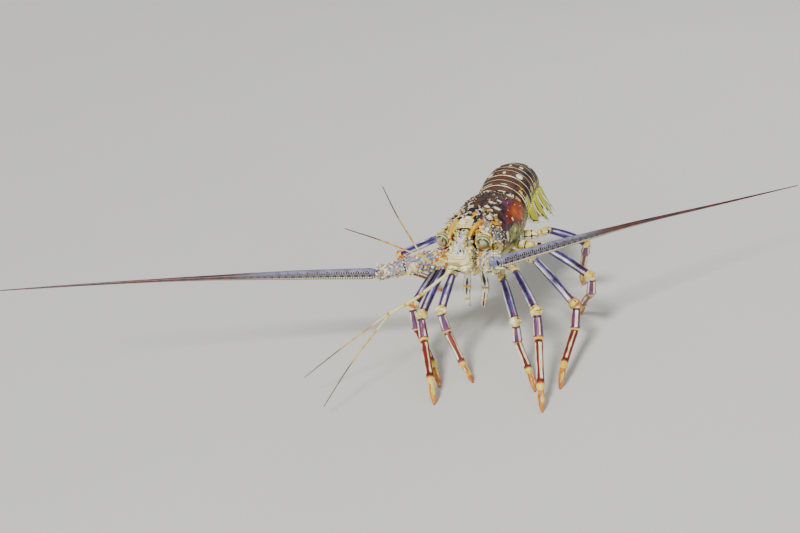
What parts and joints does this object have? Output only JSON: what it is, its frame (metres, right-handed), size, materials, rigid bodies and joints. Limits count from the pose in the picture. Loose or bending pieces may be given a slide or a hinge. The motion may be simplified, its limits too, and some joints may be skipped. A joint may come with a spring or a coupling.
{
  "type": "spiny lobster model",
  "caption": "Still, life-size model of a Caribbean spiny lobster standing on its walking legs, long spiny antennae spread to the sides and the tail arched and tucked under.",
  "frame": {"origin": "centre of the bounding box at floor level, on the plane the feet stand on", "axes": "the animal faces -Y with its left side at +X and its back up at +Z; X is the longest extent, across the spread antennae"},
  "size_m": [0.8086, 0.5108, 0.2381],
  "materials": {
    "carapace": "satin shell, dark brown with cream mottling and an orange flank",
    "sternum": "satin cream underside",
    "antennular_plate": "satin cream and lilac face",
    "eye": "glossy dark eye",
    "antenna_base": "satin lilac with cream and orange spines",
    "antenna": "satin lilac grey",
    "antenna_whip": "satin dark red brown",
    "antennule": "satin pale yellow",
    "maxilliped": "satin cream with dark bands",
    "leg_upper": "satin purple blue with pale stripes",
    "leg_lower": "satin purple to red brown with pale stripes",
    "dactyl": "matte orange brown, bristly",
    "abdomen": "satin brown with pale bands, spots and yellow side plates",
    "tail_fan": "satin brown with pale bands"
  },
  "bodies": {
    "root": {"carapace": "carapace", "sternum": "sternum", "antennular_plate": "antennular_plate", "eye_left": "eye", "antenna_base_left": "antenna_base", "antenna_left_near": "antenna", "antenna_left_whip": "antenna_whip", "antennule_left": "antennule", "antennule_left_whip_1": "antennule", "antennule_left_whip_2": "antennule", "maxilliped_left": "maxilliped", "eye_right": "eye", "antenna_base_right": "antenna_base", "antenna_right_near": "antenna", "antenna_right_whip": "antenna_whip", "antennule_right": "antennule", "antennule_right_whip_1": "antennule", "antennule_right_whip_2": "antennule", "maxilliped_right": "maxilliped", "leg_left1_upper": "leg_upper", "leg_left1_lower": "leg_lower", "leg_left1_dactyl": "dactyl", "leg_left2_upper": "leg_upper", "leg_left2_lower": "leg_lower", "leg_left2_dactyl": "dactyl", "leg_left3_upper": "leg_upper", "leg_left3_lower": "leg_lower", "leg_left3_dactyl": "dactyl", "leg_left4_upper": "leg_upper", "leg_left4_lower": "leg_lower", "leg_left4_dactyl": "dactyl", "leg_left5_upper": "leg_upper", "leg_left5_lower": "leg_lower", "leg_left5_dactyl": "dactyl", "leg_right1_upper": "leg_upper", "leg_right1_lower": "leg_lower", "leg_right1_dactyl": "dactyl", "leg_right2_upper": "leg_upper", "leg_right2_lower": "leg_lower", "leg_right2_dactyl": "dactyl", "leg_right3_upper": "leg_upper", "leg_right3_lower": "leg_lower", "leg_right3_dactyl": "dactyl", "leg_right4_upper": "leg_upper", "leg_right4_lower": "leg_lower", "leg_right4_dactyl": "dactyl", "leg_right5_upper": "leg_upper", "leg_right5_lower": "leg_lower", "leg_right5_dactyl": "dactyl", "abdomen_1": "abdomen", "abdomen_2": "abdomen", "abdomen_3": "abdomen", "abdomen_4": "abdomen", "abdomen_5": "abdomen", "abdomen_6": "abdomen", "telson": "tail_fan", "uropod_left_inner": "tail_fan", "uropod_right_inner": "tail_fan", "uropod_left_outer": "tail_fan", "uropod_right_outer": "tail_fan"}
  },
  "joints": []
}
